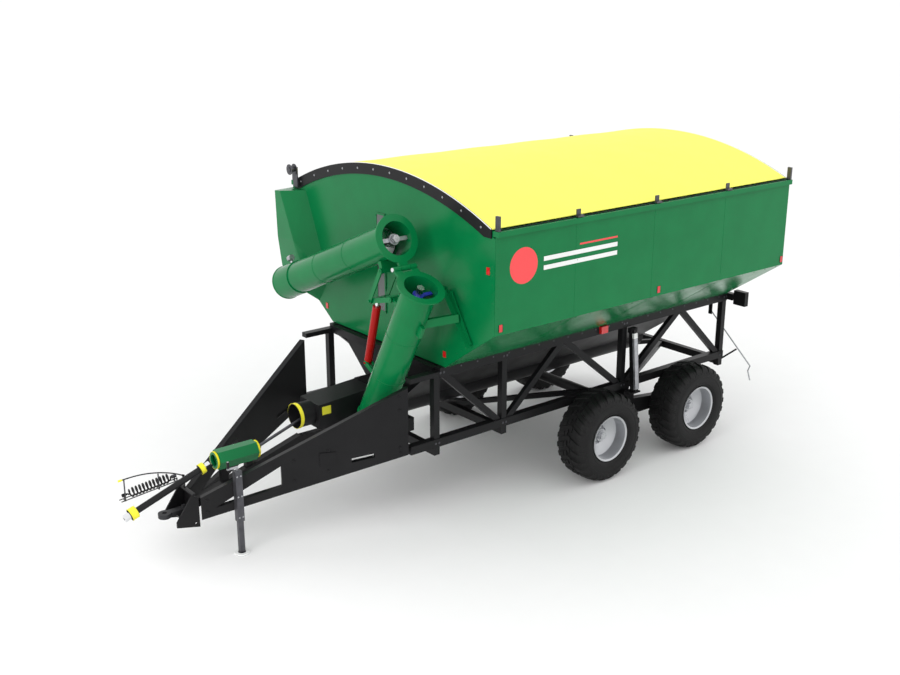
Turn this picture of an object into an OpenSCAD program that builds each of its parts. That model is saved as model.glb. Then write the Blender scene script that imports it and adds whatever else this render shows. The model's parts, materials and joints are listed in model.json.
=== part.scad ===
// Tandem-axle auger grain cart. All sizes in millimetres.
// X points forward to the tractor, Y to the machine's left, Z up.
// Stations along the machine are measured from the hopper's front wall.

/* [Hopper] */
// Width of the hopper over its side walls
hopper_w = 4000; // [3960:10:4040]
// Length of the hopper from front wall to rear wall
hopper_l = 5070; // [5060:5:5080]
// Height of the side walls' top edge above the ground
wall_top_z = 3540; // [3530:5:3560]
// Height of the fold where the side wall turns inwards
knuckle_z = 2463; // [2450:1:2475]
// Height of the hopper's lower edge, where it sits on the chassis
floor_edge_z = 1885;
// Width of the hopper at that lower edge
floor_edge_w = 2298; // [2290:1:2310]
// Thickness of the hopper sheet
sheet_t = 6; // [5:1:8]
// Height of the roof's crown
crown_z = 4040; // [4020:5:4060]

/* [Chassis] */
// Outer width over the two side trusses
chassis_w = 2276; // [2270:1:2280]
// Depth of the upper chord
chord_h = 110; // [100:5:110]
// Height of the lower chord's underside
low_chord_z = 930; // [925:1:935]
// Width of the diagonals and posts
brace_w = 80; // [60:5:85]

/* [Wheels] */
// Outer radius of the tyre
tyre_r = 580;
// Width of the tyre
tyre_w = 460; // [440:5:470]
// Radius of the rim's bead seat
rim_r = 286;
// Distance between the two wheel planes, side to side
track = 2900; // [2890:5:2910]
// Distance between the front and rear axle of the tandem
axle_gap = 1700; // [1690:5:1710]
// Station of the tandem's pivot, behind the hopper's front wall
pivot_x = -3110; // [-3115:1:-3105]

/* [Augers] */
// Outer radius of the auger tubes
tube_r = 195;
// Wall thickness of the auger tubes
tube_t = 6; // [5:1:7]
// Lean of the lower auger from the vertical, to the left
lean = 27.9;
// Swing of the upper auger from folded to working
fold_angle = 140.5;
// Radius of the tube flanges
flange_r = 270; // [265:1:272]
// Length of the upper tube, flange to mouth
upper_len = 2560; // [2500:10:2600]

/* [Drawbar] */
// Station of the tow eye's centre
eye_x = 2985; // [2980:1:2990]
// Height of the tow eye above the ground
eye_z = 530;
// Radius of the tow eye's bore
eye_bore_r = 26;
// Station of the parking jack
jack_x = 2290; // [2285:1:2295]

/* [Hidden] */
origin_x = 881.13;
half_w = hopper_w / 2;
floor_y = floor_edge_w / 2;
truss_y = chassis_w / 2 - 50;
chord_x0 = -5095;
rear_x = -hopper_l;
arch_half = 1960;
arch_r = (pow(arch_half, 2) + pow(crown_z - 3600, 2)) / (2 * (crown_z - 3600));
arch_cz = crown_z - arch_r;
trough_r = 236;
trough_z = 1190;
trough_x0 = -4400;
axle_z = tyre_r;
bogie_pivot_z = 640;
bogie_y = 1090;
spindle_r = 35;
pivot_r = 40;
run_gap = 0.05;
auger_x = 500;
lower_base = [auger_x, 333, 1000];
lower_len = 2221;
hinge_off = 330;
pin_r = 12;
hinge_pin_r = 15;
hinge_eye_r = 30;
// Linkage pivots in the plane of the two tubes, as [across the tube, along it].
low_link_pivot = [-286, lower_len - 404];
up_link_pivot = [-291, lower_len + 298];
cyl_base = [-383, lower_len - 1468];
link_pin_rest = [-560, lower_len - 648];
screw_r = 172;
screw_shaft_r = 30;
housing_z = 1000;
pto_joint = [2420, 0, 978];
pto_tip = [3440, 0, 625];
rear_shaft_a = [1832, 0, 1010];
rear_shaft_b = [1075, 0, 1262];
jack_y = 398;
funnel_y = truss_y - 54;
mouth_start = 70;
wall_gap = 3;
// Route points of the brake hose, from its fitting on the hitch head to its coupler.
hose_points = [[2720, -60, 905], [2760, -66, 925], [2820, -76, 950], [2900, -90, 975], [2980, -103, 993],
    [3060, -115, 1005], [3140, -124, 1012], [3220, -130, 1014], [3300, -133, 1012], [3370, -134, 1008]];
hose_d = 14;
coil_r = 55;
coil_a = [2800, -160, 872];
coil_b = [3320, -160, 822];

// ---------------------------------------------------------------- helpers

module place() translate([origin_x, 0, 0]) children();

// A straight box beam between two points: w across, h deep.
module beam(a, b, w, h) {
    d = b - a;
    l = norm(d);
    translate(a)
        rotate([0, -asin(d[2] / l), atan2(d[1], d[0])])
            translate([0, -w / 2, -h / 2])
                cube([l, w, h]);
}

// A straight round bar between two points.
module bar(a, b, r, sides = 48) {
    d = b - a;
    l = norm(d);
    translate(a)
        rotate([0, acos(d[2] / l), atan2(d[1], d[0])])
            cylinder(r = r, h = l, $fn = sides);
}

// Box given by its lowest and highest corners.
module block(a, b) translate(a) cube(b - a);

// Cylinder along X or along Y, starting at a point.
module bar_x(p, r, l, sides = 48) translate(p) rotate([0, 90, 0]) cylinder(r = r, h = l, $fn = sides);
module bar_y(p, r, l, sides = 48) translate(p) rotate([-90, 0, 0]) cylinder(r = r, h = l, $fn = sides);

// A flat outline in Y and Z, drawn out along X from x0 to x1.
module along_x(x0, x1) translate([x0, 0, 0]) rotate([90, 0, 90]) linear_extrude(x1 - x0) children();

// A flat outline in X and Z, drawn out along Y from y0 to y1.
module along_y(y0, y1) translate([0, y1, 0]) rotate([90, 0, 0]) linear_extrude(y1 - y0) children();

// The same shape for the machine's right-hand side.
module to_right() mirror([0, 1, 0]) children();

// A helical flight around +Z, with pitch, length and a thickness along the axis.
module flight(shaft_r, r1, pitch, len, t, steps = 16) {
    n = ceil(len / pitch * steps);
    r0 = (shaft_r + 0.4) / cos(180 / steps);
    pts = [for (i = [0:n]) let (a = 360 * i / steps, z = (len - t) * i / n)
        each [[r0 * cos(a), r0 * sin(a), z], [r1 * cos(a), r1 * sin(a), z],
              [r1 * cos(a), r1 * sin(a), z + t], [r0 * cos(a), r0 * sin(a), z + t]]];
    // The top face is split along the same diagonal as the bottom one, so the two never cross.
    sides = [for (i = [0:n - 1], k = [0:3]) let (p = 4 * i, q = (k + 1) % 4)
        each k == 2 ? [[p + k, p + q, p + 4 + q], [p + k, p + 4 + q, p + 4 + k]]
                    : [[p + q, p + 4 + k, p + k], [p + 4 + q, p + 4 + k, p + q]]];
    ends = [[2, 1, 0], [3, 2, 0], [4 * n, 4 * n + 1, 4 * n + 2], [4 * n, 4 * n + 2, 4 * n + 3]];
    polyhedron(points = pts, faces = concat(sides, ends));
}

// A tube swept along a list of points.
module sweep_tube(route, d, sides = 10) {
    last = len(route) - 1;
    function dir(i) = let (v = route[min(i + 1, last)] - route[max(i - 1, 0)]) v / norm(v);
    function across(i) = let (v = cross(dir(i), [0, 0, 1])) v / norm(v);
    pts = [for (i = [0:last]) let (u = across(i), w = cross(u, dir(i))) for (k = [0:sides - 1])
        route[i] + d / 2 * (u * cos(360 * k / sides) + w * sin(360 * k / sides))];
    walls = [for (i = [0:last - 1], k = [0:sides - 1]) let (a = i * sides, q = (k + 1) % sides)
        each [[a + k, a + q, a + sides + k], [a + q, a + sides + q, a + sides + k]]];
    caps = [[for (k = [0:sides - 1]) sides - 1 - k], [for (k = [0:sides - 1]) last * sides + k]];
    polyhedron(points = pts, faces = concat(walls, caps));
}

// ---------------------------------------------------------------- chassis

post_x = [100, -930, -3010, -5050];
brace_ends = [[-20, -850], [-1880, -1010], [-1960, -2930], [-4080, -3090], [-4160, -4970]];

module truss() {
    y0 = truss_y - 50;
    top_z = floor_edge_z - chord_h;
    block([chord_x0, y0, top_z], [60, y0 + 100, floor_edge_z]);
    block([chord_x0, y0, low_chord_z], [478, y0 + 100, low_chord_z + 100]);
    for (x = post_x)
        block([x - brace_w / 2, truss_y - brace_w / 2, low_chord_z + 90],
              [x + brace_w / 2, truss_y + brace_w / 2, top_z + 10]);
    for (e = brace_ends)
        beam([e[0], truss_y, top_z + 10], [e[1], truss_y, low_chord_z + 90], brace_w - 20, brace_w);
    block([-5090, y0 + 10, 815], [-5010, y0 + 90, low_chord_z + 10]);
}

module truss_left() color("#1c1c1e") place() truss();
module truss_right() color("#1c1c1e") place() to_right() truss();

module cross_members() color("#1c1c1e") place() {
    inner = truss_y - 50;
    block([15, -inner + 1, 1785], [95, inner - 1, 1880]);
    for (x = [100, -930])
        block([x - 40, -inner - 90, low_chord_z - 100], [x + 40, inner + 90, low_chord_z - 1]);
    block([-5090, -inner - 8, low_chord_z - 100], [-5010, inner + 8, low_chord_z - 1]);
    block([-5176, -1224, 1785], [-5096, 1224, 1878]);
    for (s = [0, 1]) mirror([0, s, 0]) block([-5195, 1225, 1730], [-5120, 1420, 1930]);
    block([-5156, 790, 1490], [-5144, 850, 1784]);
    beam([-5100, 1085, 880], [-5150, 1322, 1083], 12, 24);
    for (s = [-1, 1]) {
        beam([-980, s * 60, low_chord_z - 40], [-2960, s * 960, low_chord_z - 40], 60, 60);
        beam([-5000, s * 60, low_chord_z - 40], [-3270, s * 960, low_chord_z - 40], 60, 60);
    }
}

// Outer face line of the drawbar in plan, from the chassis to the hitch head.
function bar_y_at(x) = 1138 + (x - 510) * (180 - 1138) / (2650 - 510);
function bar_top_z(x) = 1756 - 0.5 * (x - 515);
function bar_low_z(x) = 950 - 0.244 * (x - 510);

// Plate and two arms of one drawbar side, standing on the slanted plan line.
module drawbar_side() {
    turn = atan2(bar_y_at(2640) - bar_y_at(515), 2640 - 515);
    k = cos(turn);
    function at(x, z) = [(x - 515) / k, z];
    translate([515, bar_y_at(515), 0]) rotate([0, 0, turn]) {
        difference() {
            along_y(-70, 0)
                polygon([at(515, bar_low_z(515)), at(2640, bar_low_z(2640)), at(2640, bar_top_z(2640)),
                    at(515, bar_top_z(515))]);
            along_y(-60, -8)
                polygon([at(500, 700), at(1815, 500), at(1815, 1000), at(1815, bar_top_z(1815) - 10),
                    at(500, bar_top_z(500) - 10)]);
            along_y(-80, 10)
                polygon([at(1830, bar_low_z(1830) + 95), at(2500, bar_low_z(2500) + 95),
                    at(1830, bar_top_z(1830) - 125)]);
            along_y(-80, 10)
                polygon([at(870, 960), at(1110, 925), at(1110, 975), at(870, 1010)]);
            block([-10, -80, 600], [1 / k, 10, 900]);
        }
        block([830, 0, 930], [1010, 12, 1080]);
    }
    block([61, truss_y - 48, 1787], [478, truss_y + 48, 1845]);
}

module drawbar_left() color("#1c1c1e") place() drawbar_side();
module drawbar_right() color("#1c1c1e") place() to_right() drawbar_side();

module drawbar_spine() color("#1c1c1e") place() difference() {
    union() {
        beam([1250, 0, 985], [2655, 0, 560], 90, 100);
        block([1900, -35, 700], [1980, 35, 880]);
        block([2210, -35, 640], [2290, 35, 880]);
        block([730, -42, 940], [1262, 42, 1020]);
    }
    block([2650, -200, 300], [2900, 200, 900]);
}

module hitch_head() color("#1c1c1e") place() {
    cheek = [[2655, 350], [2925, 415], [2925, 475], [2730, 745], [2655, 700]];
    difference() {
        for (s = [0, 1]) mirror([0, s, 0]) along_y(150, 168) polygon(cheek);
        bar_y([2700, -200, 405], 12, 400);
    }
    block([2655, -149, 400], [2675, 149, 690]);
    difference() {
        block([2676, -149, 484], [2860, 149, 504.5]);
        bar_y([2700, -200, 405], 12, 400);
    }
    block([2690, -175, 735], [2720, 175, 765]);
    block([2700, -80, 764], [2712, -40, 890]);
    bar([2698, -56.7, 894], hose_points[0], 12);
}

module tow_eye() color("#2a2a2c") place() difference() {
    union() {
        block([2690, -45, eye_z - 25], [2925, 45, eye_z + 25]);
        translate([eye_x, 0, eye_z - 25]) cylinder(r = 72, h = 50, $fn = 64);
        translate([2760, 0, eye_z + 25]) cylinder(r = 22, h = 30, $fn = 32);
    }
    translate([eye_x, 0, eye_z - 60]) cylinder(r = eye_bore_r, h = 120, $fn = 64);
}

// ---------------------------------------------------------------- hopper

slope_u = [half_w - floor_y, knuckle_z - floor_edge_z] / norm([half_w - floor_y, knuckle_z - floor_edge_z]);
in_low = [floor_y - sheet_t * slope_u[1], floor_edge_z + sheet_t * slope_u[0]];
in_knuckle = [half_w - sheet_t, in_low[1] + (half_w - sheet_t - in_low[0]) * slope_u[1] / slope_u[0]];

module hopper_side() along_x(rear_x, 0)
    polygon([[half_w, wall_top_z], [half_w, knuckle_z], [floor_y, floor_edge_z + 1], [in_low[0], in_low[1] + 1],
        in_knuckle, [half_w - sheet_t, wall_top_z]]);

module hopper_left_side() color("#128040") place() hopper_side();
module hopper_right_side() color("#128040") place() to_right() hopper_side();

// End wall outline inside the side panels, under the roof arch.
module end_wall(x0) intersection() {
    along_x(x0, x0 + sheet_t)
        polygon([[-in_low[0] + wall_gap, in_low[1] + 1], [in_low[0] - wall_gap, in_low[1] + 1],
            [in_knuckle[0] - wall_gap, in_knuckle[1]], [in_knuckle[0] - wall_gap, 4100],
            [-in_knuckle[0] + wall_gap, 4100], [-in_knuckle[0] + wall_gap, in_knuckle[1]]]);
    bar_x([x0 - 5, 0, arch_cz], arch_r - 60, sheet_t + 10, 180);
}

module hopper_front_wall() color("#128040") place() {
    end_wall(-sheet_t);
    block([0.5, 1120, 2795], [30.5, 1160, 2835]);
}

module hopper_rear_wall() color("#128040") place() end_wall(rear_x);

nose_top = wall_top_z - 28;
nose_points = [[1, -half_w, nose_top], [1, -1690, nose_top], [1, -1225, 2430], [1, -1464, 2105],
    [1, -half_w, 2470], [275, -half_w, 3500], [279, -1870, nose_top], [275, -1590, 2900], [262, -half_w, 2900],
    [195, -1420, 2420], [185, -1560, 2250], [215, -half_w, 2500]];

module hopper_nose() color("#128040") place() difference() {
    hull() for (p = nose_points) translate(p - [1, 0, 0]) cube(1);
    hull() for (p = nose_points)
        translate([p[0] < 2 ? -9 : p[0] - 8, p[1] < -1900 ? p[1] + 7 : p[1] - 9, p[2] > 3000 ? p[2] - 8 : p[2] + 9])
            cube(1);
}

// Floor funnel: two long slopes down to a round trough, and a slope at the rear.
module funnel(t, top) intersection() {
    union() {
        along_x(-5080 + t, -t)
            polygon([[-funnel_y + 2 * t, top], [-trough_r + t, trough_z], [trough_r - t, trough_z],
                [funnel_y - 2 * t, top]]);
        bar_x([-5080, 0, trough_z], trough_r - t, 5080 - t, 96);
    }
    along_y(-1200, 1200)
        polygon([[-t, 900], [trough_x0 + t, 900], [trough_x0 + t, trough_z + 40], [-5060 + 2 * t, top], [-t, top]]);
}

module hopper_floor() color("#161618") place() difference() {
    funnel(0, floor_edge_z - 5);
    funnel(sheet_t, floor_edge_z - 4);
    bar_x([-20, 0, trough_z], 215, 40, 64);
    bar_x([trough_x0 - 20, 0, trough_z], screw_shaft_r + run_gap, 60, 48);
}

module top_rails() color("#128040") place() for (s = [0, 1]) mirror([0, s, 0]) {
    block([rear_x, half_w - 55, wall_top_z + 0.5], [0, half_w + 40, wall_top_z + 60]);
}

module arch_band(x0, x1, r_out, r_in, z0 = 3400) intersection() {
    difference() {
        bar_x([x0, 0, arch_cz], r_out, x1 - x0, 360);
        bar_x([x0 - 5, 0, arch_cz], r_in, x1 - x0 + 10, 360);
    }
    block([x0 - 1, -arch_half + 20, z0], [x1 + 1, arch_half - 20, 4200]);
}

module end_arches() color("#161616") place() {
    arch_band(1, 15, arch_r, arch_r - 130, nose_top + 8);
    arch_band(rear_x - 15, rear_x - 1, arch_r, arch_r - 130);
}

module tarp() color("#f2e24a") place() arch_band(rear_x + 2, -2, arch_r + 4, arch_r - 8);

clamp_x = [-1205, -2490, -3790];

// Bows under the tarp, its side clamps, corner fittings and the winding spool.
module tarp_fittings() color("#8b8f93") place() {
    for (k = [1:4]) arch_band(k * rear_x / 5 - 20, k * rear_x / 5 + 20, arch_r - 16, arch_r - 56);
    for (s = [0, 1], x = clamp_x) mirror([0, s, 0]) {
        block([x - 30, 1985, 3601], [x + 30, 2000, 3690]);
        block([x - 45, 2001, 3606], [x + 45, 2036, 3626]);
    }
    for (s = [0, 1], x = [-40, rear_x + 10]) mirror([0, s, 0])
        block([x, 1975, 3601], [x + 30, 2030, 3760]);
    block([40, -1900, 3545], [55, -1800, 3800]);
    block([17, -1900, 3545], [39, -1800, 3560]);
    bar_x([56, -1850, 3770], 32, 90);
    bar_x([60, -1850, 3770], 68, 8);
    bar_x([130, -1850, 3770], 68, 8);
}

// ---------------------------------------------------------------- augers

// Frame of the lower auger: Z along the tube, Y across it, away from the hinge.
module lower_frame() translate(lower_base) rotate([-lean, 0, 0]) children();

// The same frame carried round the fold hinge, from working to folded.
module upper_frame() lower_frame()
    translate([0, -hinge_off, lower_len]) rotate([fold_angle, 0, 0]) translate([0, hinge_off, -lower_len])
        children();

// Solid of the lower tube, to cut its neighbours clear of it.
module lower_tube_space(gap) lower_frame() translate([0, 0, -80]) cylinder(r = tube_r + gap, h = 1200, $fn = 96);

module pipe(r, t, l) difference() {
    cylinder(r = r, h = l, $fn = 96);
    translate([0, 0, -1]) cylinder(r = r - t, h = l + 2, $fn = 96);
}

module ring(r0, r1, z0, z1) translate([0, 0, z0]) difference() {
    cylinder(r = r1, h = z1 - z0, $fn = 96);
    translate([0, 0, -1]) cylinder(r = r0, h = z1 - z0 + 2, $fn = 96);
}

// A bored block along X whose foot reaches the tube wall.
module lug(p, x0, x1, bore) difference() {
    union() {
        bar_x([x0, p[0], p[1]], bore + 16, x1 - x0);
        block([x0, p[0], p[1] - bore - 16], [x1, -tube_r + 12, p[1] + bore + 16]);
    }
    bar_x([x0 - 1, p[0], p[1]], bore + run_gap, x1 - x0 + 2);
}

module lower_tube() color("#128040") place() lower_frame() difference() {
    union() {
        translate([0, 0, mouth_start]) cylinder(r = tube_r, h = lower_len - 2 - mouth_start, $fn = 96);
        translate([0, 0, lower_len - 17]) cylinder(r = flange_r, h = 16, $fn = 96);
        translate([0, 0, 245]) cylinder(r = tube_r + 14, h = 14, $fn = 96);
        for (s = [0, 1]) mirror([s, 0, 0]) {
            block([62, -hinge_off, lower_len - 30], [150, -150, lower_len - 2]);
            bar_x([62, -hinge_off, lower_len], hinge_eye_r, 88);
            lug(cyl_base, 24, 44, pin_r);
        }
        lug(low_link_pivot, -70, 70, pin_r);
        block([-20, tube_r - 12, lower_len - 520], [20, tube_r + 60, lower_len - 380]);
    }
    translate([0, 0, -1]) cylinder(r = tube_r - tube_t, h = lower_len + 2, $fn = 96);
    bar_x([-200, -hinge_off, lower_len], hinge_pin_r + run_gap, 400);
}

module hinge_pin() color("#c9ccd0") place() lower_frame() {
    bar_x([-156, -hinge_off, lower_len], hinge_pin_r, 312);
    bar_x([-166, -hinge_off, lower_len], hinge_pin_r + 8, 9);
    bar_x([157, -hinge_off, lower_len], hinge_pin_r + 8, 9);
}

module upper_tube() color("#128040") place() upper_frame() difference() {
    union() {
        translate([0, 0, lower_len + 2]) cylinder(r = tube_r, h = upper_len - 2, $fn = 96);
        translate([0, 0, lower_len + 1]) cylinder(r = flange_r, h = 16, $fn = 96);
        translate([0, 0, lower_len + upper_len - 380]) cylinder(r = tube_r + 12, h = 380, $fn = 96);
        block([-58, -hinge_off, lower_len + 2], [58, -150, lower_len + 30]);
        bar_x([-58, -hinge_off, lower_len], hinge_eye_r, 116);
        lug(up_link_pivot, -100, 100, pin_r);
    }
    translate([0, 0, lower_len - 40]) cylinder(r = tube_r - tube_t, h = upper_len + 100, $fn = 96);
    bar_x([-100, -hinge_off, lower_len], hinge_pin_r + run_gap, 200);
}

// A cross strut with a bearing ring that carries the end of a screw.
module strut_bearing(z) {
    difference() {
        union() {
            translate([0, 0, z]) cylinder(r = 62, h = 50, $fn = 64);
            block([-tube_r + tube_t + 2, -22, z + 12], [tube_r - tube_t - 2, 22, z + 32]);
        }
        translate([0, 0, z - 1]) cylinder(r = screw_shaft_r + run_gap, h = 52, $fn = 64);
    }
}

module lower_bearing() color("#2430b0") place() lower_frame() strut_bearing(lower_len - 150);
module upper_bearing() color("#2430b0") place() upper_frame() strut_bearing(lower_len + 60);

module screw(z0, z1, f0, f1) {
    translate([0, 0, z0]) cylinder(r = screw_shaft_r, h = z1 - z0, $fn = 48);
    translate([0, 0, f0]) flight(screw_shaft_r, screw_r, 330, f1 - f0, 6);
}

module lower_screw() color("#d8dadd") place() lower_frame() {
    screw(20, lower_len - 70, 90, lower_len - 165);
    translate([0, 0, lower_len - 69]) cylinder(r = 46, h = 60, $fn = 6);
}

module upper_screw() color("#d8dadd") place() upper_frame() {
    screw(lower_len + 50, lower_len + upper_len - 260, lower_len + 130, lower_len + upper_len - 280);
    translate([0, 0, lower_len + 12]) cylinder(r = 46, h = 37, $fn = 6);
}

module work_light() color("#d6d8da") place() upper_frame() {
    translate([0, tube_r + 13.5, lower_len + upper_len - 240]) rotate([-90, 0, 0]) cylinder(r = 20, h = 20, $fn = 32);
    bar([0, tube_r + 72, lower_len + upper_len - 270], [0, tube_r + 72, lower_len + upper_len - 200], 38);
}

// Links between the upper tube and the floating pin, drawn at the folded rest.
function round_hinge(p) = let (v = p - [-hinge_off, lower_len])
    [-hinge_off + v[0] * cos(fold_angle) - v[1] * sin(fold_angle),
     lower_len + v[0] * sin(fold_angle) + v[1] * cos(fold_angle)];
up_link_rest = round_hinge(up_link_pivot);

module link_plate(p, q, x0, x1, w) {
    beam([(x0 + x1) / 2, p[0], p[1]], [(x0 + x1) / 2, q[0], q[1]], x1 - x0, w);
    bar_x([x0 - 1, p[0], p[1]], w / 2 + 4, x1 - x0 + 2);
    bar_x([x0 - 1, q[0], q[1]], w / 2 + 4, x1 - x0 + 2);
}

module fold_links() color("#128040") place() lower_frame() {
    for (s = [0, 1]) mirror([s, 0, 0]) {
        link_plate(up_link_rest, link_pin_rest, 108, 123, 56);
        bar_x([115, link_pin_rest[0], link_pin_rest[1]], 16, 22);
    }
    bar_x([-132, up_link_rest[0], up_link_rest[1]], pin_r, 264);
}

module rocker_links() color("#128040") place() lower_frame() {
    for (s = [0, 1]) mirror([s, 0, 0]) link_plate(low_link_pivot, link_pin_rest, 86, 101, 56);
    bar_x([-105, low_link_pivot[0], low_link_pivot[1]], pin_r, 210);
}

cyl_u = (link_pin_rest - cyl_base) / norm(link_pin_rest - cyl_base);
cyl_len = norm(link_pin_rest - cyl_base);
module cylinder_frame() lower_frame()
    translate([0, cyl_base[0], cyl_base[1]]) rotate([-atan2(cyl_u[0], cyl_u[1]), 0, 0]) children();

module cylinder_barrel() color("#c01818") place() cylinder_frame() {
    difference() {
        union() {
            translate([0, 0, 30]) cylinder(r = 48, h = cyl_len - 120, $fn = 64);
            bar_x([-22, 0, 0], 34, 44);
        }
        translate([0, 0, 70]) cylinder(r = 36, h = cyl_len, $fn = 64);
        translate([0, 0, 60]) cylinder(r = 25 + run_gap, h = cyl_len, $fn = 64);
    }
    bar_x([-56, 0, 0], pin_r, 112);
    translate([0, 0, cyl_len - 108]) ring(25 + run_gap, 36, 0, 18);
}

module cylinder_rod() color("#d0d2d4") place() cylinder_frame() {
    translate([0, 0, 110]) cylinder(r = 25, h = cyl_len - 110, $fn = 64);
    bar_x([-80, 0, cyl_len], 33, 160);
}

// Brace from the lower tube to a channel rail on the front wall.
rail_top = [26, 1250, 2810];
rail_low = [26, 1600, 2275];
module auger_brace() color("#128040") place() difference() {
    union() {
        for (dy = [-26, 26]) beam(rail_top + [0, dy, 0], rail_low + [0, dy, 0], 24, 50);
        beam(rail_top + [28, -30, 10], rail_low + [28, 40, -6], 90, 3);
        beam([60, 1455, 2560], [auger_x - 10, 1290, 2520], 60, 90);
    }
    lower_tube_space(1);
    lower_frame() translate([0, 0, 900]) cylinder(r = tube_r + 1, h = 1200, $fn = 96);
    block([-100, 0, 2000], [1, 2000, 3000]);
}

module sight_window() color("#6f7376") place() block([1, -140, 2270], [9, 40, 3480]);

// ---------------------------------------------------------------- drive

module front_sump() color("#161618") place() difference() {
    union() {
        block([2, -252, 935], [718, 560, 1100]);
        block([2, -250, 940], [300, 250, 1445]);
    }
    block([-10, -244, 943], [710, 552, 1092]);
    block([-10, -242, 948], [292, 242, 1437]);
    lower_tube_space(1.5);
    bar_x([280, 0, trough_z], screw_shaft_r + run_gap, 60);
}

module gearbox() color("#2b3034") place() difference() {
    union() {
        block([302, -120, 1105], [600, 120, 1330]);
        block([560, -130, 1105], [930, 130, 1400]);
        bar_x([930, 0, 1270], 60, 40);
    }
    bar_x([301, 0, trough_z], screw_shaft_r + run_gap, 200);
}

module driveline_guard() color("#131416") place() {
    difference() {
        along_y(-215, 190)
            polygon([[310, 1450], [1095, 1400], [1095, 1105], [1010, 1105],
                [1010, 1100], [722, 1100], [722, 1102], [310, 1102]]);
        along_y(-209, 184)
            polygon([[300, 1440], [1089, 1393], [1089, 1000], [300, 1000]]);
        bar_x([1080, 0, 1265], 95, 60, 64);
        lower_tube_space(4);
        block([290, -130, 1095], [320, 130, 1460]);
    }
    translate([1096, 0, 1265]) rotate([0, 90, 0]) ring(139, 145, 0, 215);
    translate([1096, 0, 1265]) rotate([0, 90, 0]) ring(95, 145, 0, 6);
}

module floor_auger() color("#b9bcc0") place() {
    bar_x([trough_x0 - 60, 0, trough_z], screw_shaft_r, 4900);
    translate([trough_x0 + 40, 0, trough_z]) rotate([0, 90, 0]) flight(screw_shaft_r, 200, 380, 4620, 6);
}

module pto_housing() color("#128040") place() {
    difference() {
        translate([1850, 0, housing_z]) rotate([0, 90, 0]) rotate([0, 0, 30]) cylinder(r = 118, h = 485, $fn = 6);
        bar_x([1840, 0, housing_z], 92, 520, 64);
    }
    for (x = [1870, 2290]) translate([x, 0, housing_z]) rotate([0, 90, 0]) ring(60, 91.5, 0, 24);
    block([1900, -34, 881], [1980, 34, housing_z - 104]);
    block([2210, -34, 881], [2290, 34, housing_z - 104]);
    for (x = [1822, 2336]) translate([x, 0, housing_z]) rotate([0, 90, 0]) ring(70, 96, 0, 27);
}

pto_u = (pto_tip - pto_joint) / norm(pto_tip - pto_joint);
pto_l = norm(pto_tip - pto_joint);
module pto_frame() translate(pto_joint) rotate([0, acos(pto_u[2]), 0]) children();

module pto_guard() color("#1a1a1a") place() pto_frame() {
    translate([0, 0, 85]) pipe(36, 4, pto_l - 215);
    translate([0, 0, 66]) pipe(58, 4, 60);
    translate([0, 0, pto_l - 150]) pipe(66, 4, 80);
    translate([0, 0, 121]) ring(31, 58, 0, 5);
    translate([0, 0, pto_l - 151]) ring(31, 66, 0, 5);
    for (s = [0, 1]) mirror([0, s, 0]) {
        block([-12, 54.5, 0], [12, 60, 70]);
        bar_y([0, 54.5, 0], 14, 8);
    }
}

module pto_front_shaft() color("#c4c7ca") place() pto_frame() difference() {
    union() {
        translate([0, 0, 20]) cylinder(r = 24, h = pto_l - 60, $fn = 48);
        translate([0, 0, pto_l - 75]) cylinder(r = 42, h = 75, $fn = 64);
        bar_x([-40, 0, pto_l - 95], 14, 80);
        cylinder(r = 34, h = 50, $fn = 48);
    }
    translate([0, 0, pto_l - 60]) cylinder(r = 17.5, h = 80, $fn = 48);
}

module pto_rear_shaft() color("#3a3d40") place() {
    bar(rear_shaft_a, rear_shaft_b, 18);
    bar(rear_shaft_a + [60, 0, -20], rear_shaft_a + [-50, 0, 17], 30);
    bar(rear_shaft_b + [40, 0, -13.3], rear_shaft_b + [-22, 0, 7.3], 34);
}

// ---------------------------------------------------------------- running gear

module hanger() {
    difference() {
        union() {
            along_y(1005, 1025) polygon([[pivot_x - 170, low_chord_z - 2], [pivot_x - 80, 560], [pivot_x + 80, 560],
                [pivot_x + 170, low_chord_z - 2]]);
            along_y(1155, 1175) polygon([[pivot_x - 85, 905], [pivot_x - 85, 500], [pivot_x + 85, 500],
                [pivot_x + 85, 905]]);
            block([pivot_x - 80, 1155, 885], [pivot_x + 80, 1290, 905]);
        }
        bar_y([pivot_x, 900, bogie_pivot_z], pivot_r - 0.5, 500);
    }
    beam([pivot_x, 1250, 906], [pivot_x, 1178, 1745], 60, 90);
    block([pivot_x - 55, 1139, 1700], [pivot_x + 55, 1205, 1760]);
    bar_y([pivot_x, 960, bogie_pivot_z], pivot_r, 240, 64);
    bar_y([pivot_x, 0, bogie_pivot_z], 70, 1004, 64);
}

module axle_hangers() color("#1c1c1e") place() {
    hanger();
    to_right() hanger();
}

wheel_x = [pivot_x + axle_gap / 2, pivot_x - axle_gap / 2];

module bogie() difference() {
    union() {
        along_y(bogie_y - 48, bogie_y + 48)
            polygon([[wheel_x[1] - 80, axle_z - 70], [wheel_x[1] - 80, axle_z + 70],
                [pivot_x - 120, bogie_pivot_z + 100],
                [pivot_x + 120, bogie_pivot_z + 100], [wheel_x[0] + 80, axle_z + 70],
                [wheel_x[0] + 80, axle_z - 70], [pivot_x + 120, bogie_pivot_z - 120],
                [pivot_x - 120, bogie_pivot_z - 120]]);
        for (x = wheel_x) bar_y([x, bogie_y, axle_z], spindle_r, 420, 64);
        for (x = wheel_x) bar_y([x, bogie_y, axle_z], 62, 110, 64);
    }
    bar_y([pivot_x, bogie_y - 60, bogie_pivot_z], pivot_r + run_gap, 120, 64);
}

module bogie_left() color("#1c1c1e") place() bogie();
module bogie_right() color("#1c1c1e") place() to_right() bogie();

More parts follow.
